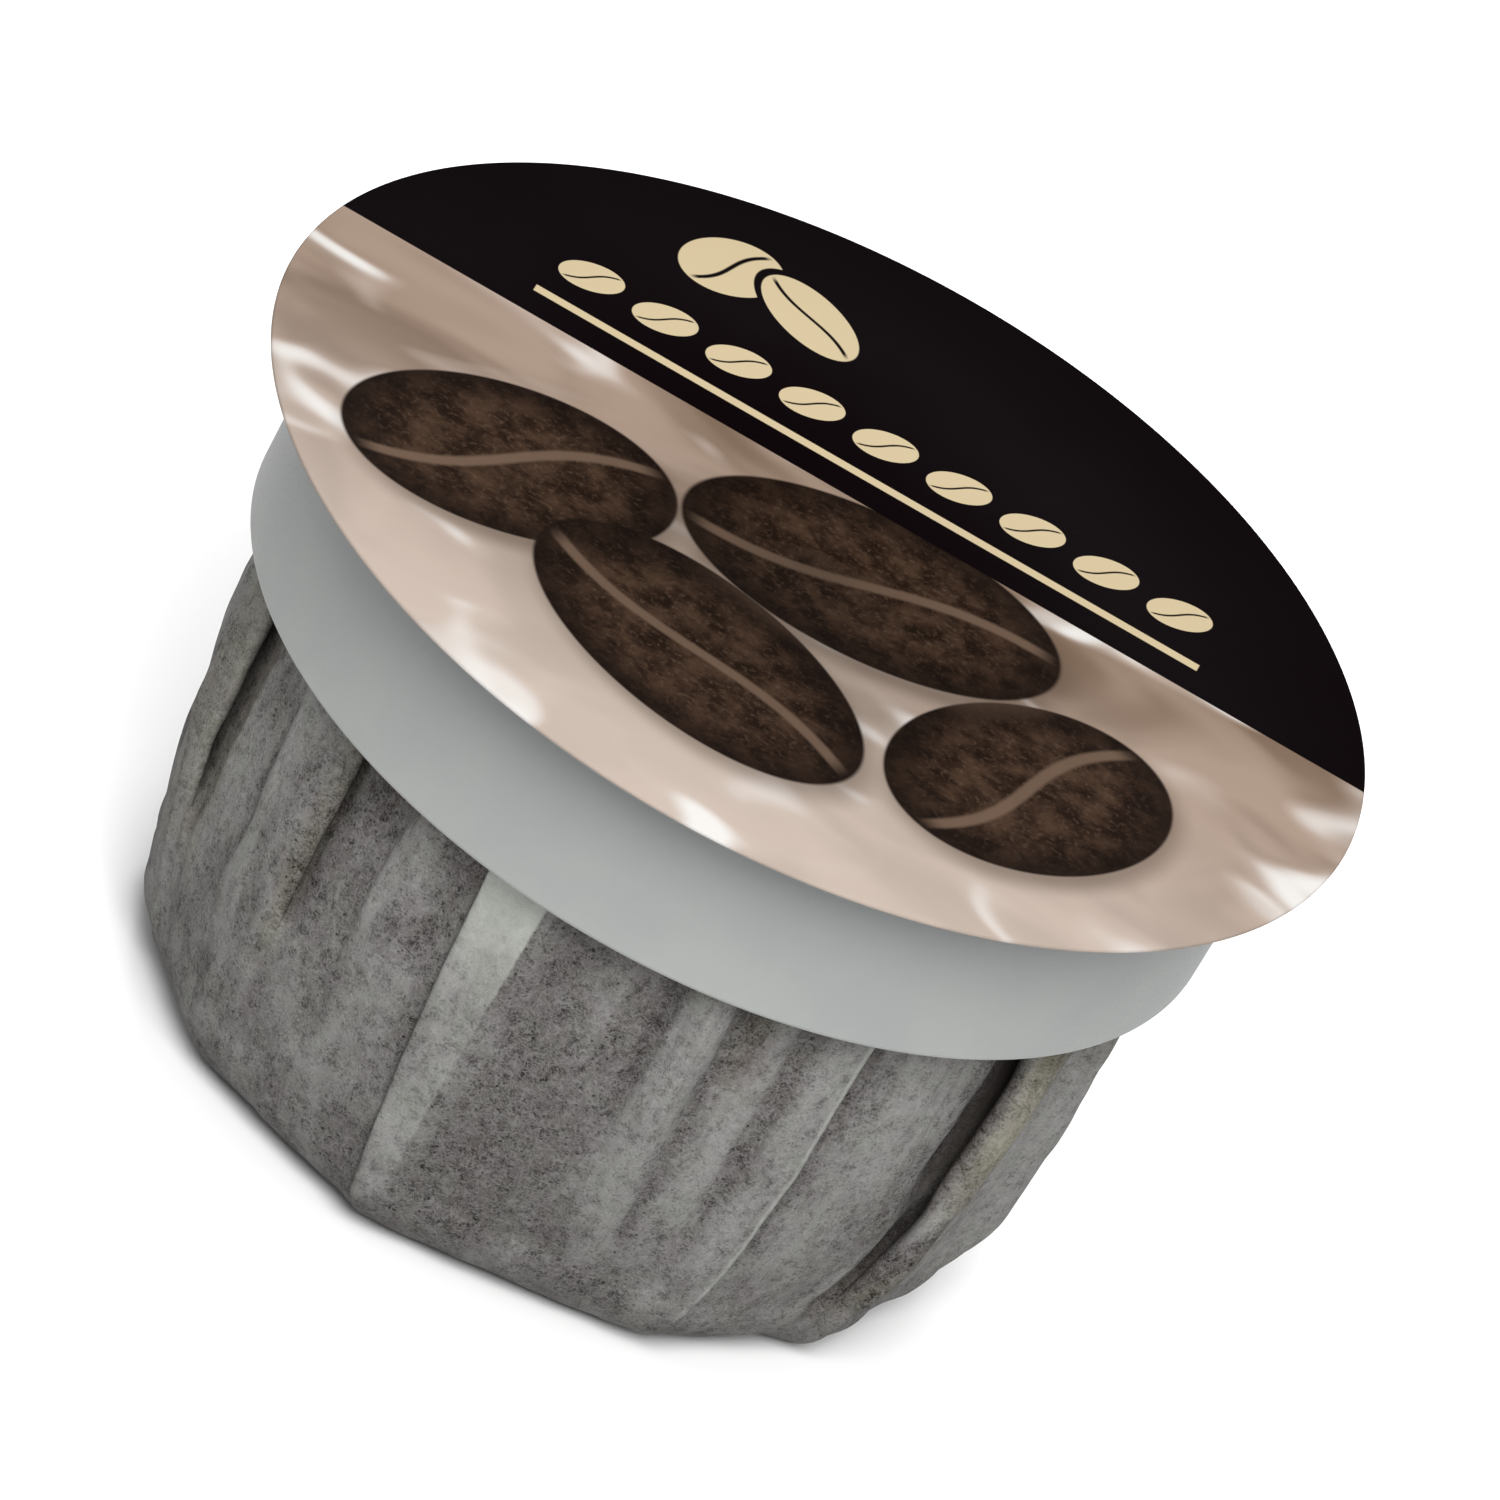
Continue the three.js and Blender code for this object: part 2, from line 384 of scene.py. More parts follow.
def on_cloth(red, green, blue):
    return tone(red, green, blue, LIGHT_ON_CLOTH)


# Ring

RING_SEGMENTS = 240


def ring_material():
    """Matt grey plastic with a fine grain, with painted shade that makes it a little darker towards the lid.
    """
    paint = Shader("ring_plastic")
    where = paint.place()
    cloud = paint.step(paint.noise(where, 5.0, 3), 0.35, 0.65)
    grain = paint.noise(where, 0.12, 3, 0.6)
    plastic = paint.mix(cloud, on_ring(170, 173, 171), on_ring(176, 178, 175))
    # Painted shade: the plastic's colour darkens towards the lid, where the lid's overhang shades it.
    painted_lid_shade = paint.step(paint.axes(where)[2], COLLAR_BOTTOM - 2, LID_BOTTOM + 1)
    paint.set("Base Color", paint.mix(painted_lid_shade, plastic, on_ring(152, 155, 154)))
    paint.set("Roughness", paint.step(grain, 0.3, 0.7, 0.5, 0.62))
    paint.set("Specular IOR Level", 0.25)
    paint.bump(grain, 0.006)
    return paint


def add_ring():
    """The flange under the lid and the collar below it, with every edge rounded."""
    edge = 0.15
    lip = 0.28
    fillet = 0.35
    flange_bottom = LID_BOTTOM - FLANGE_THICKNESS
    below = COLLAR_RADIUS - COLLAR_DRAFT
    profile = [
        *arc(below - COLLAR_WALL + lip, COLLAR_BOTTOM + lip, lip, 180, 270),
        *arc(below - lip, COLLAR_BOTTOM + lip, lip, 270, 360),
        *arc(COLLAR_RADIUS + fillet, flange_bottom - fillet, fillet, 180, 90),
        *arc(FLANGE_RADIUS - edge, flange_bottom + edge, edge, 270, 360),
        *arc(FLANGE_RADIUS - edge, LID_BOTTOM - edge, edge, 0, 90),
        *arc(COLLAR_RADIUS - COLLAR_WALL + edge, LID_BOTTOM - edge, edge, 90, 180),
    ]
    piece = lathe("collar_ring", profile, RING_SEGMENTS)
    ring_material().wear(piece)
    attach(piece, "root")
    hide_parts("ring")


# Lid and its print

LID_SEGMENTS = 288
PINHOLE = 0.01

# The print, in millimetres and degrees: how far behind the lid's centre the dark field starts, how the whole
# print is turned, how soft its edges are, the beans, and the border and the rule on the dark field
CHORD_BEHIND_CENTRE = 5.25
PRINT_TURN = -0.9
PRINT_EDGE = 0.03
BIG_BEANS = [
    {"centre": (-13.2, -6.4), "turn": 38, "size": (8.2, 5.7)},
    {"centre": (-2.2, -12.6), "turn": -24, "size": (8.8, 6.1)},
    {"centre": (12.6, -8.8), "turn": 62, "size": (8.0, 5.5)},
    {"centre": (2.6, -0.6), "turn": 12, "size": (9.0, 6.2)},
]
CREAM_BEAN_PAIR = [
    {"centre": (-9.6, 17.4), "turn": 58, "size": (2.9, 2.0)},
    {"centre": (-5.6, 17.0), "turn": -38, "size": (2.9, 2.0)},
]
# How far a big bean's shadow lies from it, and how much larger it is
SHADOW_OFFSET = (0.5, -0.7)
SHADOW_GROWTH = 1.12
# Where the dark rim round each bean of the pair ends, and a bean's crease: its wave, its swing, half its width
# and its ends, all as shares of the bean's half sizes
PAIR_RIM = (1.12, 1.15)
CREASE_WAVE = 2.7
CREASE_SWING = 0.17
CREASE_HALF_WIDTH = (0.03, 0.08)
CREASE_ENDS = (0.8, 0.98)
BORDER_Y = 10.6
BORDER_PITCH = 3.6
BORDER_HALF_WIDTH = 16.2
BORDER_BEAN = {"centre": (0, 0), "turn": 38, "size": (1.65, 1.1)}
RULE_Y = 7.4
RULE_HALF_HEIGHT = 0.28


def bean_masks(paint, where, bean):
    """A bean's inside and crease, and how far off its middle a point is, 1 at its outline."""
    local = paint.local(where, bean["centre"], bean["turn"], bean["size"])
    u, v, _ = paint.axes(local)
    away = paint.vector("LENGTH", local)
    inside = paint.step(away, 0.97, 1.0, 1.0, 0.0)
    curve = paint.times(paint.math("SINE", paint.times(u, CREASE_WAVE)), CREASE_SWING)
    short = paint.step(paint.math("ABSOLUTE", u), *CREASE_ENDS, 1.0, 0.0)
    crease = paint.times(paint.step(paint.apart(v, curve), *CREASE_HALF_WIDTH, 1.0, 0.0), short)
    return inside, crease, away


def band_mask(paint, value, middle, half_width):
    """1 where a value is within half a width of its middle."""
    return paint.step(paint.apart(value, middle), half_width - PRINT_EDGE, half_width + PRINT_EDGE, 1.0, 0.0)


def border_mask(paint, x, y):
    """A row of like beans across the dark field."""
    cell = paint.math("FRACT", paint.add(paint.times(x, 1 / BORDER_PITCH), 0.5))
    joined = paint.tree.nodes.new("ShaderNodeCombineXYZ")
    paint.feed(joined.inputs[0], paint.sway(cell, BORDER_PITCH))
    paint.feed(joined.inputs[1], paint.math("SUBTRACT", y, BORDER_Y))
    inside, crease, _ = bean_masks(paint, joined.outputs[0], BORDER_BEAN)
    beans = paint.times(inside, paint.math("SUBTRACT", 1.0, crease))
    return paint.times(beans, band_mask(paint, x, 0, BORDER_HALF_WIDTH))


def tan_field(paint, where):
    """A soft brown-to-cream field with blurred pale streaks."""
    _, y, _ = paint.axes(where)
    drift = paint.stretch(where, (0.7, 1.2, 1))
    broad = paint.step(paint.noise(drift, 8.5, 2, 0.5, 0.8), 0.34, 0.66)
    field = paint.mix(broad, on_lid(134, 111, 93), on_lid(180, 157, 140))
    nearer = paint.step(y, -24, CHORD_BEHIND_CENTRE, 0.6, 0.0)
    field = paint.mix(nearer, field, on_lid(236, 221, 209))
    shine = paint.noise(paint.shift(drift, (31, 7, 0)), 6.0, 1, 0.4, 0.9)
    field = paint.mix(paint.step(shine, 0.52, 0.7, 0.0, 0.65), field, on_lid(224, 208, 196))
    return paint.mix(paint.step(shine, 0.6, 0.74, 0.0, 0.95), field, on_lid(255, 252, 248))


def roast_colour(paint, where):
    """Mottled dark roast, as the big beans are printed."""
    blots = paint.step(paint.noise(where, 1.6, 5, 0.62), 0.36, 0.68)
    specks = paint.step(paint.noise(where, 0.3, 3, 0.6), 0.5, 0.72)
    roast = paint.mix(blots, on_lid(38, 25, 17), on_lid(82, 61, 47))
    return paint.mix(paint.times(specks, 0.45), roast, on_lid(110, 88, 72))


def big_bean(paint, where, bean, field, roast):
    """A roasted bean and its soft shadow on the field."""
    place = [c + offset for c, offset in zip(bean["centre"], SHADOW_OFFSET)]
    size = [half * SHADOW_GROWTH for half in bean["size"]]
    shadow = paint.local(where, place, bean["turn"], size)
    dark = paint.step(paint.vector("LENGTH", shadow), 0.78, 1.0, 0.55, 0.0)
    shaded = paint.mix(dark, field, on_lid(96, 76, 62))
    inside, crease, away = bean_masks(paint, where, bean)
    body = paint.mix(paint.step(away, 0.5, 1.0, 0.0, 0.8), roast, on_lid(24, 15, 11))
    body = paint.mix(paint.times(crease, 0.85), body, on_lid(126, 103, 86))
    return paint.mix(inside, shaded, body)


def lid_material():
    """Satin film with its print: big beans on a brown-to-cream field, and cream shapes on a dark one."""
    paint = Shader("lid_print")
    flat = paint.stretch(paint.place(), (1, 1, 0))
    where = paint.local(flat, (0, 0), PRINT_TURN, (1, 1))
    x, y, _ = paint.axes(where)
    colour = tan_field(paint, where)
    roast = roast_colour(paint, where)
    for bean in BIG_BEANS:
        colour = big_bean(paint, where, bean, colour, roast)
    dark_field = paint.step(y, CHORD_BEHIND_CENTRE - PRINT_EDGE, CHORD_BEHIND_CENTRE + PRINT_EDGE)
    ink = on_lid(10, 2, 5)
    colour = paint.mix(dark_field, colour, ink)
    cream = on_lid(226, 207, 168)
    for bean in CREAM_BEAN_PAIR:
        inside, crease, away = bean_masks(paint, where, bean)
        colour = paint.mix(paint.step(away, *PAIR_RIM, 1.0, 0.0), colour, ink)
        colour = paint.mix(inside, colour, paint.mix(crease, cream, ink))
    colour = paint.mix(border_mask(paint, x, y), colour, cream)
    rule = band_mask(paint, y, RULE_Y, RULE_HALF_HEIGHT)
    colour = paint.mix(paint.times(rule, band_mask(paint, x, 0, BORDER_HALF_WIDTH)), colour, cream)
    paint.set("Base Color", colour)
    film = paint.noise(paint.place(), 9.0, 2)
    paint.set("Roughness", paint.step(film, 0.35, 0.65, 0.48, 0.56))
    paint.set("Specular IOR Level", 0.01)
    paint.bump(film, 0.05)
    return paint


def add_lid():
    """The sealed film: a thin disc with a rounded cut edge, and at its middle a hole too small to see."""
    half = (POD_HEIGHT - LID_BOTTOM) / 2
    edge = arc(LID_RADIUS - half, LID_BOTTOM + half, half, -90, 90)
    profile = [(PINHOLE, LID_BOTTOM), *edge, (PINHOLE, POD_HEIGHT)]
    piece = lathe("printed_lid", profile, LID_SEGMENTS)
    lid_material().wear(piece)
    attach(piece, "root")
    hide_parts("lid")


# Filter

# A depth is 0 at the collar's lower edge and 1 where the base starts to round. Each pleat's edge is the angle
# where its fold shows, and lap is the angle from there to the hidden fold behind it, positive when it opens
# to the left. end is the depth to which it stays folded, fade how far below that its ridge dies away, and
# drift how far its edge turns on the way down. corner says whether the base has a corner there. rise scales a
# pleat's height, puff rounds its top layer, dent presses the cloth in beside its edge, pale lightens its
# layers, line paints a highlight along its edge, and dark paints shade into its crease.
PLEAT_FIELDS = (
    "edge", "lap", "end", "fade", "drift", "corner", "rise", "puff", "dent", "pale", "line", "dark",
)
PLEAT_ROWS = [
    (-167, 3.5, 0.6, 0.5, 0, False, 0.7, 0.3, 0.1, 0.15, 0.1, 0.5),
    (-150, 8.5, 0.9, 0.5, 0, True, 0.8, 0.3, 0.2, 0.3, 0.1, 0.5),
    (-122, -9, 1, 0.5, 0, True, 0.65, 0.1, 0.1, 0.7, 0.1, 0.3),
    (-110, 3.5, -0.3, 1.1, 0, False, 0.8, 0.5, 0.1, 0.2, 0, 0.4),
    (-93, 7, 0.3, 0.9, 0, True, 0.75, 0.3, 0.1, 0.25, 0.1, 0.3),
    (-68, -10, 0.45, 0.8, 5, True, 0.8, 1.3, 0.2, 0.15, 0.1, 0.6),
    (-38.6, -11.5, 0.35, 0.9, 1, True, 0.7, 0.5, 0.12, 0.2, 0.1, 0.6),
    (-26.5, 3, -0.1, 0.7, 1, False, 0.8, 0.5, 0.15, 0.12, 0, 0.4),
    (-15.3, 8, 1, 0.5, 3.4, True, 0.55, 0.0, 0.08, 1.0, 0.0, 0.25),
    (13.4, 1.2, -0.3, 1.4, 2, False, 1.5, 0.7, 0.1, 0.15, 0, 0.35),
    (36.5, -5.5, 0.9, 0.5, -3, True, 0.5, 0.15, 0.08, 0.2, 0.4, 0.3),
    (50, -3, -0.3, 0.9, -2, False, 1.0, 0.5, 0.1, 0.1, 0, 0.15),
    (61.6, 6, 0.75, 0.9, -4, True, 1.2, 0.9, 0.3, 0.1, 0.1, 1.2),
    (85, -7, 0.8, 0.5, 0, True, 0.9, 0.4, 0.1, 0.15, 0.1, 0.3),
    (98, 7, 0.8, 0.5, 0, False, 0.8, 0.3, 0.1, 0.2, 0.1, 0.5),
    (127, -7.5, 1, 0.5, 2, True, 0.65, 0.1, 0.1, 0.7, 0.1, 0.3),
    (142, 8, 0.7, 0.5, 0, False, 0.8, 0.4, 0.2, 0.2, 0.1, 0.6),
    (171, -7, 1, 0.5, -2, True, 0.7, 0.2, 0.1, 0.3, 0.2, 0.4),
]
PLEATS = [dict(zip(PLEAT_FIELDS, row)) for row in PLEAT_ROWS]
# Soft upright bands of painted light and shade, pale on the folds' ridges and dark beside them, which also
# stand for where the cloth lies closer to the coffee or stands off it, so that more or less of the coffee
# shows: the angle at the collar, half the width, the drift on the way down, the depths where it starts and
# dies away, and how much paler it is
BANDS = [
    (-82, 4, 0, -0.1, 0.9, 0.3),
    (-65, 1.6, 5, -0.1, 0.7, -2.6),
    (-59.5, 2, 2, -0.1, 0.9, 1.0),
    (-54, 2, 3, 0.0, 0.8, 0.5),
    (-52.7, 0.9, 6, -0.1, 1.1, -1.8),
    (-50.3, 0.9, 6, -0.1, 1.2, 3.4),
    (-44.5, 3, 3, -0.1, 0.8, 0.4),
    (-38, 1.1, 1, -0.1, 0.65, -2.6),
    (-33.4, 2.8, 1, -0.1, 0.4, -3.4),
    (-27.3, 0.8, 1.5, -0.1, 0.6, 1.8),
    (-18.5, 1.8, 3, -0.1, 0.5, -1.1),
    (-2, 2.5, 0, -0.1, 0.6, -1.0),
    (1, 12, 0, 0.1, 1.2, -0.8),
    (3, 8, 0, 0.45, 1.25, -0.9),
    (4.7, 2.2, 0, -0.1, 0.55, 1.6),
    (10.2, 1, 2, -0.1, 0.6, -3.0),
    (14.9, 2, 2, -0.1, 1, 2.4),
    (18.9, 0.8, 2.5, -0.1, 1, -2.0),
    (21, 1.4, 1, -0.1, 0.34, -3.6),
    (25.2, 1.2, 0, -0.1, 0.8, 2.0),
    (28.7, 1.1, -0.5, -0.1, 0.95, -1.7),
    (34.2, 2, -3, -0.1, 1, 1.4),
    (39, 1, -3, -0.1, 0.8, -1.8),
    (45, 4, -1, -0.1, 1, 1.5),
    (52, 1.6, -2, -0.1, 0.7, 1.0),
    (55.5, 1.2, -2, -0.1, 0.5, -1.2),
    (59.6, 1.4, -4, -0.1, 0.7, -5),
    (71.5, 1.5, -16, 0.5, 1.15, -2.8),
    (68.2, 1.1, -16, 0.5, 1.15, 1.8),
    (70, 0.9, -2, -0.1, 0.6, -1.6),
    (80, 7, 0, -0.1, 1.1, 3.0),
    (104, 4, 0, -0.1, 0.7, -1.2),
    (117, 5, 0, 0, 0.9, 0.8),
    (133, 3, 0, -0.1, 0.5, -2.0),
    (156, 4, 0, -0.1, 0.8, 0.8),
    (-175, 4, 0, -0.1, 0.5, -1.6),
    (-140, 3, 0, -0.1, 0.4, -1.8),
    (-102, 3, 0, -0.1, 0.7, -1.2),
]
# Bands of a faint olive stain beside the deeper creases
STAINS = [
    (-72, 4, 3, -0.1, 0.9, 0.6),
    (-65, 2.5, 5, -0.1, 0.9, 0.9),
    (-38.5, 1.2, 1, -0.1, 0.8, 0.9),
    (21.5, 1.6, 1, -0.1, 0.4, 0.8),
    (63.5, 2, -4, -0.1, 0.7, 1.2),
    (74, 2.4, -16, 0.5, 1.15, 0.9),
    (106, 3, 0, -0.1, 0.7, 0.8),
    (-176, 3, 0, -0.1, 0.6, 0.8),
]
# How much depth a band takes to start and to die away
BAND_START = 0.1
BAND_END = 0.3
# How far a full band pushes the cloth out, in millimetres
BAND_RELIEF = 0.06
# Degrees over which the cloth climbs to a pleat's top layer
RAMP = 4.0
# The share of its lap that a pleat keeps at the base
LAP_LEFT_AT_BASE = 0.4
# How near to straight the panels between corners are at the base
PANEL_FLATNESS = 0.65
# How much depth a fold takes to open, and the share of its height that its ridge keeps there
UNFOLD_DEPTH = 0.3
RIDGE_HEIGHT = 0.7
# The degrees before and past its edge that the ridge spreads over
RIDGE_SPREAD = (-2.6, 4.0)
# The share of a pleat's paleness that goes below the collar, and the depths over which it goes
PALE_LOST_BELOW = 0.76
PALE_LOST_OVER = (-0.12, 0.45)
# The depth of the base's rounding
BELOW_ROUND = 0.5
# Sizes and pushes of the cloth's unevenness, in millimetres: lumps of coffee, grit, strain lines, which run
# upright, and gathers below the collar, which run further
LUMP_SIZE, LUMP_PUSH = 2.8, 0.13
GRIT_SIZE, GRIT_PUSH = 1.1, 0.04
STRAIN_SIZE, STRAIN_LENGTH, STRAIN_PUSH = 1.1, 11, 0.11
GATHER_SIZE, GATHER_LENGTH, GATHER_PUSH = 1.7, 30, 0.3
GATHER_SEED = 40
# Degrees between points where the cloth is plain
PLAIN_STEP = 0.85
# How far above the collar's lower edge the hem's last row is, in millimetres
HEM_END = 0.4
# How many rows of points the hem, the side, the rounding and the base have
HEM_ROWS = 4
SIDE_ROWS = 46
ROUND_ROWS = 19
BASE_ROWS = 10

# A pleat's section, from its ramp to past its edge. Each point has a share of the lap and an added angle in
# degrees, a height in layers, and shares of the puff, the paleness, the painted highlight on the edge and the
# painted shade in the crease.
SECTION = [
    # lap share, angle, layers, puff, pale, line, crease
    (-1, -RAMP, 0.0, 0, 0, 0, 0),
    (-1, -RAMP * 0.66, 0.5, 0, 0, 0, 0),
    (-1, -RAMP * 0.33, 1.4, 0, 0, 0, 0),
    (-1, -0.3, 1.95, 0, 0.15, 0, 0),
    (-1, 0.0, 2.0, 0.1, 1, 0, 0),
    (-0.75, 0.0, 2.0, 0.75, 1, 0, 0),
    (-0.5, 0.0, 2.0, 1, 1, 0, 0),
    (-0.25, 0.0, 2.0, 0.75, 1, 0.1, 0),
    (-0.08, 0.0, 2.0, 0.2, 1, 0.4, 0),
    (0, 0.0, 2.0, 0, 1, 1, 0),
    (0, 0.42, 1.85, 0, 1, 0.8, 0.1),
    (0, 0.6, 1.5, 0, 0.8, 0, 0.4),
    (0, 0.42, 1.15, 0, 0, 0, 0.9),
    (0, 0.0, 1.0, 0, 0, 0, 1),
    (-0.5, 0.0, 1.0, 0, 0, 0, 1),
    (-1, 0.0, 1.0, 0, 0, 0, 1),
    (-1, -0.6, 0.5, 0, 0, 0, 1),
    (-1, 0.0, 0.0, 0, 0, 0, 1),
    (-0.5, 0.0, 0.0, 0, 0, 0, 1),
    (0, -0.2, 0.0, 0, 0, 0, 1),
    (0, 0.9, 0.0, 0, 0, 0, 0.75),
    (0, 2.0, 0.0, 0, 0, 0, 0.3),
    (0, 4.0, 0.0, 0, 0, 0, 0),
]
# How many of its points come before the top layer
RAMP_POINTS = 4


def cloth_rows():
    """The cloth's middle surface in section from the hem to the base: radius, z, outward normal and depth."""
    start = CLOTH / 2 + BASE_ROUND
    drop = COLLAR_BOTTOM - start
    rows = [(HEM_RADIUS, z, 1, 0, 0.0) for z in np.linspace(HEM_TOP, COLLAR_BOTTOM + HEM_END, HEM_ROWS)]
    belly = [HEM_RADIUS, HEM_RADIUS + BELLY_BULGE, HEM_RADIUS + BELLY_BULGE, BASE_RADIUS]
    heights = [COLLAR_BOTTOM, COLLAR_BOTTOM - drop / 3, COLLAR_BOTTOM - drop * 0.75, start]
    for t in np.linspace(0, 1, SIDE_ROWS):
        weights = ((1 - t) ** 3, 3 * t * (1 - t) ** 2, 3 * t * t * (1 - t), t**3)
        radius = sum(w * r for w, r in zip(weights, belly))
        z = sum(w * h for w, h in zip(weights, heights))
        rows.append((radius, z, 1, 0, t))
    centre = BASE_RADIUS - BASE_ROUND
    for t in np.linspace(0, 1, ROUND_ROWS)[1:]:
        turn = math.radians(90 * t)
        radius = centre + BASE_ROUND * math.cos(turn)
        z = start - BASE_ROUND * math.sin(turn)
        rows.append((radius, z, math.cos(turn), -math.sin(turn), 1 + BELOW_ROUND * t))
    for t in np.linspace(0, 1, BASE_ROWS)[1:-1]:
        rows.append((centre * (1 - t), CLOTH / 2, 0, -1, 1 + BELOW_ROUND + t))
    return rows


def panel_share(angle, depth):
    """The share of the radius that is left where the panels between corner pleats pull in."""
    corners = [p["edge"] + p["lap"] / 2 for p in PLEATS if p["corner"]]
    wrapped = (angle - corners[0]) % 360 + corners[0]
    after = next((c for c in corners if c > wrapped), corners[0] + 360)
    before = max(c for c in corners if c <= wrapped)
    half_panel = math.radians((after - before) / 2)
    off_middle = math.radians(wrapped - (before + after) / 2)
    chord = math.cos(half_panel) / math.cos(off_middle)
    return 1 - PANEL_FLATNESS * min(depth, 1) ** 2 * (1 - chord)


def pleat_section(pleat, depth):
    """A pleat at a depth: the angle, height, paleness with a painted edge highlight, and painted crease shade
    of each point, from left to right.
    """
    facing = -1 if pleat["lap"] > 0 else 1
    lap = abs(pleat["lap"]) * (1 - (1 - LAP_LEFT_AT_BASE) * min(depth, 1))
    open_share = smooth(depth, pleat["end"], pleat["end"] + UNFOLD_DEPTH)
    fade = max(0.0, 1 - max(0.0, depth - pleat["end"]) / pleat["fade"])
    bleached = pleat["pale"] * (1 - PALE_LOST_BELOW * smooth(depth, *PALE_LOST_OVER))
    bleached *= 1 - smooth(depth, 1, 1.3)
    ridge_from, ridge_to = RIDGE_SPREAD
    first = -abs(pleat["lap"]) - RAMP
    edge = pleat["edge"] + pleat["drift"] * min(depth, 1)
    dark = pleat["dark"] * (1 - 0.5 * smooth(depth, 0.15, max(0.2, pleat["end"]) + 0.1))
    out = []
    for i, (share, angle, layers, puff, pale, line, crease) in enumerate(SECTION):
        folded = share * lap + angle
        rise = (layers + puff * pleat["puff"]) * LAYER_PITCH * pleat["rise"]
        if layers == 0 and share == 0:
            rise -= pleat["dent"] * crease * fade
        if i < RAMP_POINTS:
            ridge = first + (ridge_from - first) * i / RAMP_POINTS
        else:
            past = (i - RAMP_POINTS) / (len(SECTION) - 1 - RAMP_POINTS)
            ridge = ridge_from + (ridge_to - ridge_from) * past
        a = folded + (ridge - folded) * open_share
        height = rise * (1 - open_share) + rise * RIDGE_HEIGHT * fade * open_share
        strength = fade * (1 - 0.5 * open_share)
        # Paleness of the layers plus a painted highlight along the edge, and painted shade in the crease
        # beside it
        light = pale * bleached + line * pleat["line"] * strength
        out.append((edge + facing * a, height, light, crease * dark * strength))
    return out if facing > 0 else out[::-1]


def cloth_row(depth, plain_steps):
    """The whole cloth at a depth, pleat by pleat, with the plain steps between."""
    sections = [pleat_section(p, depth) for p in PLEATS]
    around = []
    for i, section in enumerate(sections):
        around.extend(section)
        last = i == len(sections) - 1
        start = section[-1][0]
        end = sections[0][0][0] + 360 if last else sections[i + 1][0][0]
        steps = plain_steps[i]
        for s in range(1, steps):
            around.append((start + (end - start) * s / steps, 0.0, 0.0, 0.0))
    return around


def count_plain_steps():
    """How many steps lie between one pleat and the next, the same at every depth."""
    sections = [pleat_section(p, 0.0) for p in PLEATS]
    ends = [s[-1][0] for s in sections]
    starts = [s[0][0] for s in sections[1:]] + [sections[0][0][0] + 360]
    return [max(1, round((b - a) / PLAIN_STEP)) for a, b in zip(ends, starts)]


def bands_at(depth, bands):
    """The bands at a depth: the angle of each one's middle, half its width and how strong it is there."""
    out = []
    for middle, half_width, drift, start, end, amount in bands:
        fades = smooth(depth, start, start + BAND_START) * (1 - smooth(depth, end - BAND_END, end))
        if fades > 0:
            out.append((middle + drift * depth, half_width, amount * fades))
    return out


def sum_of_bands(angle, bands):
    """How strong the bands are together at an angle."""
    band_sum = 0.0
    for middle, half_width, amount in bands:
        away = abs((angle - middle + 180) % 360 - 180)
        if away < 2 * half_width:
            band_sum += amount * (1 - smooth(away, 0, 2 * half_width))
    return band_sum


def lumpiness(point, depth):
    """How far grounds, strain and gathers push the cloth in or out at a point, in millimetres."""
    x, y, z = point
    lumps = noise.noise(point / LUMP_SIZE) * LUMP_PUSH + noise.noise(point / GRIT_SIZE) * GRIT_PUSH
    strain = noise.noise(Vector((x / STRAIN_SIZE, y / STRAIN_SIZE, z / STRAIN_LENGTH))) * STRAIN_PUSH
    upright = Vector((x / GATHER_SIZE, y / GATHER_SIZE, GATHER_SEED + z / GATHER_LENGTH))
    gather = noise.noise(upright) * GATHER_PUSH
    upper = gather * smooth(depth, 0, 0.05) * (1 - smooth(depth, 0.08, 0.45))
    return upper + (lumps + strain * (1 - smooth(depth, 0.8, 1.3))) * smooth(depth, 0.0, 0.15)


def cloth_veil_and_shade(paint, where, pale):
    """How well the cloth hides the coffee, 0 to 1, by its bands, broad blotches, streaks and layers, plus
    painted light and shade.
    """
    height = paint.axes(where)[2]
    broad = paint.noise(paint.stretch(where, (1, 1, 0.55)), 2.4, 3, 0.55, 0.3)
    # The bands add painted light and shade of the folds to how much coffee shows.
    veil_and_shade = paint.add(paint.attribute("band_sum"), paint.sway(broad, 6.5))
    streaks = paint.noise(paint.stretch(where, (1, 1, 0.07)), 0.9, 2, 0.5)
    veil_and_shade = paint.add(veil_and_shade, paint.sway(streaks, paint.step(height, 6, 20, 0.5, 3.5)))
    return paint.step(paint.add(veil_and_shade, paint.times(pale, 3.0)), -1.5, 1.7)


def felted(paint, veil_and_shade, clumps, felt):
    """Plain cloth: pale fibres over dark ones, and darker where it hides less or where the bands paint shade.
    """
    pale_grey = paint.mix(veil_and_shade, on_cloth(112, 109, 107), on_cloth(149, 149, 146))
    dark_grey = paint.mix(veil_and_shade, on_cloth(36, 32, 30), on_cloth(106, 104, 101))
    grain = paint.add(paint.times(clumps, 0.55), paint.times(felt, 0.45))
    grain = paint.step(grain, 0.34, 0.62, 1.0, 0.0)
    return paint.mix(paint.times(grain, grain), pale_grey, dark_grey)


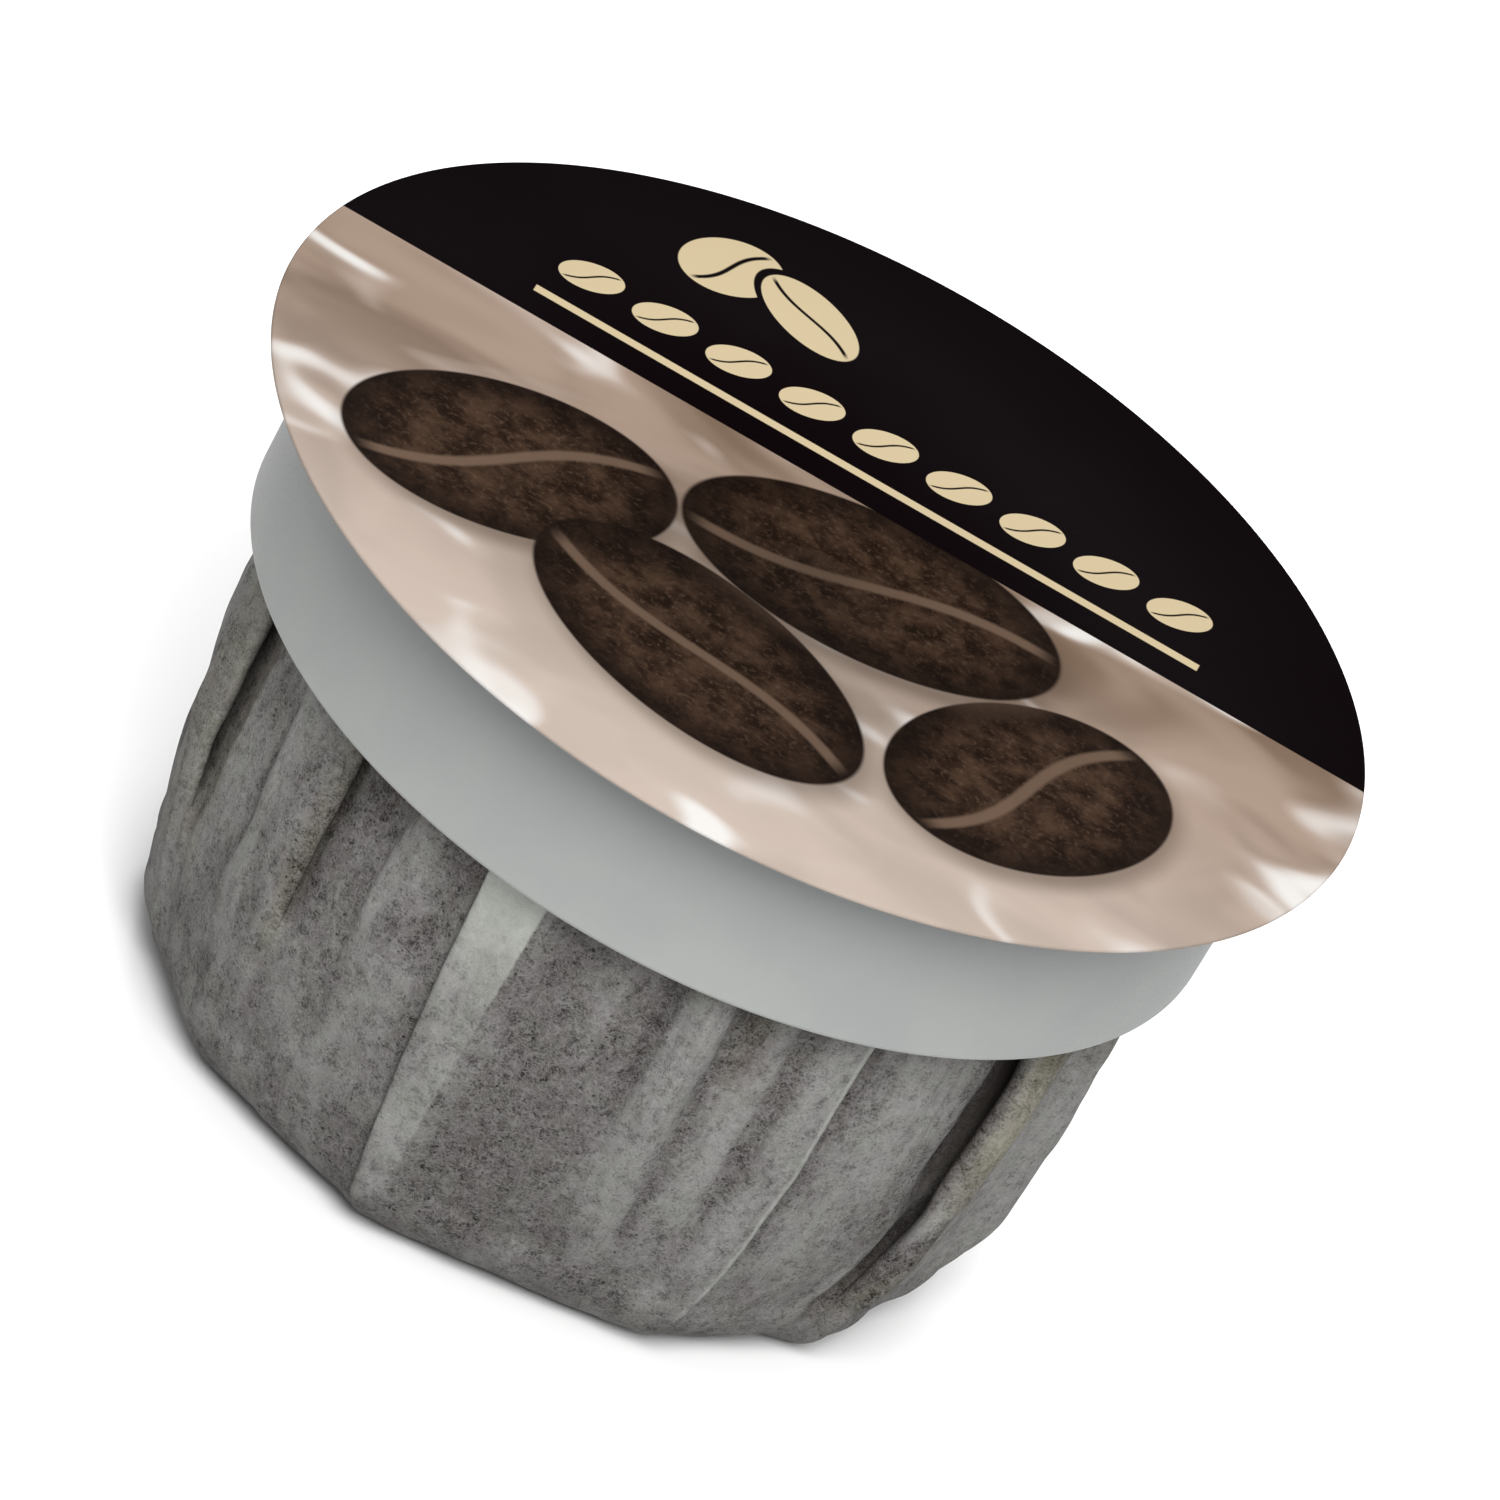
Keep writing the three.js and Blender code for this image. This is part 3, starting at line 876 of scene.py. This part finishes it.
def stained(paint, where, cloth):
    """The cloth with brown patches, dark bands of painted shade, a faint change of hue and olive stains."""
    # More brown patches in the last 4.5 mm below the collar, so the cloth is darker under the ring.
    near_ring = paint.step(paint.axes(where)[2], COLLAR_BOTTOM - 4.5, COLLAR_BOTTOM, 0.0, 0.1)
    patch_noise = paint.add(paint.noise(paint.stretch(where, (1, 1, 0.6)), 2.9, 3, 0.6, 0.5), near_ring)
    cloth = paint.mix(paint.step(patch_noise, 0.56, 0.76, 0.0, 0.35), cloth, on_cloth(76, 64, 56))
    # Painted shade: the darkest bands turn nearly black-brown.
    dark = paint.step(paint.attribute("band_sum"), -5.0, -1.4, 0.9, 0.0)
    cloth = paint.mix(dark, cloth, on_cloth(42, 33, 35))
    hue = paint.step(paint.noise(paint.shift(where, (9, 3, 21)), 1.5, 3), 0.36, 0.64)
    violet = paint.stretch(cloth, (1.02, 0.985, 1.015))
    green = paint.stretch(cloth, (0.995, 0.995, 0.96))
    cloth = paint.mix(hue, violet, green)
    olive = paint.times(paint.attribute("olive"), 0.85)
    return paint.mix(olive, cloth, paint.stretch(cloth, (0.97, 0.94, 0.74)))


def specked(paint, where, cloth, grounds):
    """The cloth with fine and coarse specks of the grounds behind it, as strong as grounds says."""
    dense = paint.step(paint.noise(where, 1.1, 3, 0.6), 0.42, 0.62, 0.15, 1.0)
    fine = paint.step(paint.cells(where, 0.19), 0.16, 0.4, 0.7, 0.0)
    cloth = paint.mix(paint.times(fine, paint.times(dense, grounds)), cloth, on_cloth(44, 38, 36))
    coarse = paint.step(paint.cells(where, 0.6), 0.08, 0.15, 0.85, 0.0)
    return paint.mix(paint.times(coarse, grounds), cloth, on_cloth(38, 32, 31))


def filter_material():
    """Grey felted cloth with the dark grounds showing through it as specks and brown patches, and painted
    light and shade on its folds.
    """
    paint = Shader("filter_cloth")
    where = paint.place()
    clumps = paint.noise(paint.stretch(where, (1, 1, 0.85)), 0.55, 4, 0.62)
    felt = paint.noise(paint.stretch(where, (1, 1, 1.35)), 0.13, 2, 0.6)
    pale = paint.attribute("pale")
    veil_and_shade = cloth_veil_and_shade(paint, where, pale)
    cloth = stained(paint, where, felted(paint, veil_and_shade, clumps, felt))
    # Pale where the pleats' layers hide the grounds, and a painted highlight along the pleats' edges
    bleached = paint.step(paint.add(pale, paint.sway(clumps, 0.3)), 0.06, 1.0)
    bleached = paint.times(bleached, paint.step(pale, 0.02, 0.1))
    grounds = paint.math("SUBTRACT", 1.0, bleached)
    grounds = paint.times(grounds, paint.step(veil_and_shade, 0.0, 1.0, 1.1, 0.45))
    cloth = specked(paint, where, cloth, grounds)
    cloth = paint.mix(bleached, cloth, on_cloth(204, 208, 199))
    fibres = fibre_mask(paint, where)
    cloth = paint.mix(paint.times(fibres, 0.2), cloth, on_cloth(190, 190, 188))
    # Painted shade in the creases beside the pleats' edges
    crease = paint.attribute("crease")
    cloth = paint.mix(paint.times(crease, 0.8), cloth, on_cloth(44, 37, 35))
    paint.set("Base Color", cloth)
    paint.set("Roughness", 0.95)
    paint.set("Specular IOR Level", 0.15)
    relief = paint.add(paint.times(clumps, 0.7), paint.add(paint.times(felt, 0.3), paint.times(fibres, 0.2)))
    paint.bump(relief, 0.1, 0.7)
    return paint


def fibre_mask(paint, where):
    """Fine curly fibres: thin lines where smooth noise crosses its middle, in two layers."""
    layers = []
    for offset, size in (((0, 0, 0), 0.5), ((17, 5, 9), 0.36)):
        field = paint.noise(paint.shift(where, offset), size, 1.5, 0.5, 0.9)
        layers.append(paint.step(paint.apart(field, 0.5), 0.01, 0.04, 1.0, 0.0))
    return paint.math("MAXIMUM", *layers)


def cloth_grid():
    """The cloth's middle surface as rows of points from the hem down, and what its material reads at each."""
    plain_steps = count_plain_steps()
    middle = []
    marks = {"pale": [], "crease": [], "band_sum": [], "olive": []}
    for radius, z, out_r, out_z, depth in cloth_rows():
        line = []
        bands = bands_at(depth, BANDS)
        stains = bands_at(depth, STAINS)
        above_base = 1 - smooth(depth, 0.8, 1.2)
        for angle, rise, pale, crease in cloth_row(depth, plain_steps):
            flat = polar(angle, radius * panel_share(angle, depth), z)
            # The bands' sum: painted light and shade of the folds, and how much of the coffee shows
            band_sum = sum_of_bands(angle, bands)
            push = rise + lumpiness(flat, depth) + BAND_RELIEF * band_sum * above_base
            point = flat + polar(angle, push * out_r, push * out_z)
            point.z = max(point.z, CLOTH / 2)
            line.append(point)
            marks["pale"].append(pale)
            marks["crease"].append(crease)
            marks["band_sum"].append(band_sum)
            marks["olive"].append(sum_of_bands(angle, stains))
        middle.append(line)
    return np.array(middle), marks


def cloth_skins(middle):
    """The cloth's outside and inside, half its thickness to either side of its middle."""
    along = np.roll(middle, -1, axis=1) - np.roll(middle, 1, axis=1)
    down = np.gradient(middle, axis=0)
    normals = np.cross(down, along)
    normals /= np.linalg.norm(normals, axis=2, keepdims=True)
    return middle + normals * CLOTH / 2, middle - normals * CLOTH / 2


def cup_faces(n_rows, n_columns):
    """Faces of both skins, joined by a rim at the hem and closed by fans at the middle of the base."""
    faces = []
    size = n_rows * n_columns
    for c in range(n_columns):
        d = (c + 1) % n_columns
        for r in range(n_rows - 1):
            here = r * n_columns
            under = here + n_columns
            faces.append((here + c, under + c, under + d, here + d))
            faces.append((size + here + d, size + under + d, size + under + c, size + here + c))
        last = (n_rows - 1) * n_columns
        faces.append((last + c, 2 * size, last + d))
        faces.append((size + last + d, 2 * size + 1, size + last + c))
        faces.append((c, d, size + d, size + c))
    return faces


def add_filter():
    """The pleated cup, one sheet gathered from a round cut of its own area."""
    middle, marks = cloth_grid()
    outside, inside = cloth_skins(middle)
    centres = [(0, 0, 0), (0, 0, CLOTH)]
    points = np.vstack([outside.reshape(-1, 3), inside.reshape(-1, 3), centres])
    piece = mesh_object("pleated_filter", points, cup_faces(*middle.shape[:2]))
    for name, values in marks.items():
        both = np.concatenate([values, values, [0.0, 0.0]])
        piece.data.attributes.new(name, "FLOAT", "POINT").data.foreach_set("value", both)
    filter_material().wear(piece)
    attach(piece, "root")
    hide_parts("filter")


# Coffee


def dress_coffee():
    """The sealed charge keeps its solid and gets a coarse dark grain."""
    paint = Shader("ground_coffee")
    grain = paint.cells(paint.place(), 0.6)
    paint.set("Base Color", paint.mix(paint.step(grain, 0.1, 0.7), tone(70, 46, 32), tone(34, 22, 16)))
    paint.set("Roughness", 0.9)
    paint.bump(grain, 0.3)
    paint.wear(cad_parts["coffee"])


# The scene

bpy.context.scene.view_settings.view_transform = "Standard"
add_camera()
add_studio()
add_ring()
add_lid()
add_filter()
dress_coffee()
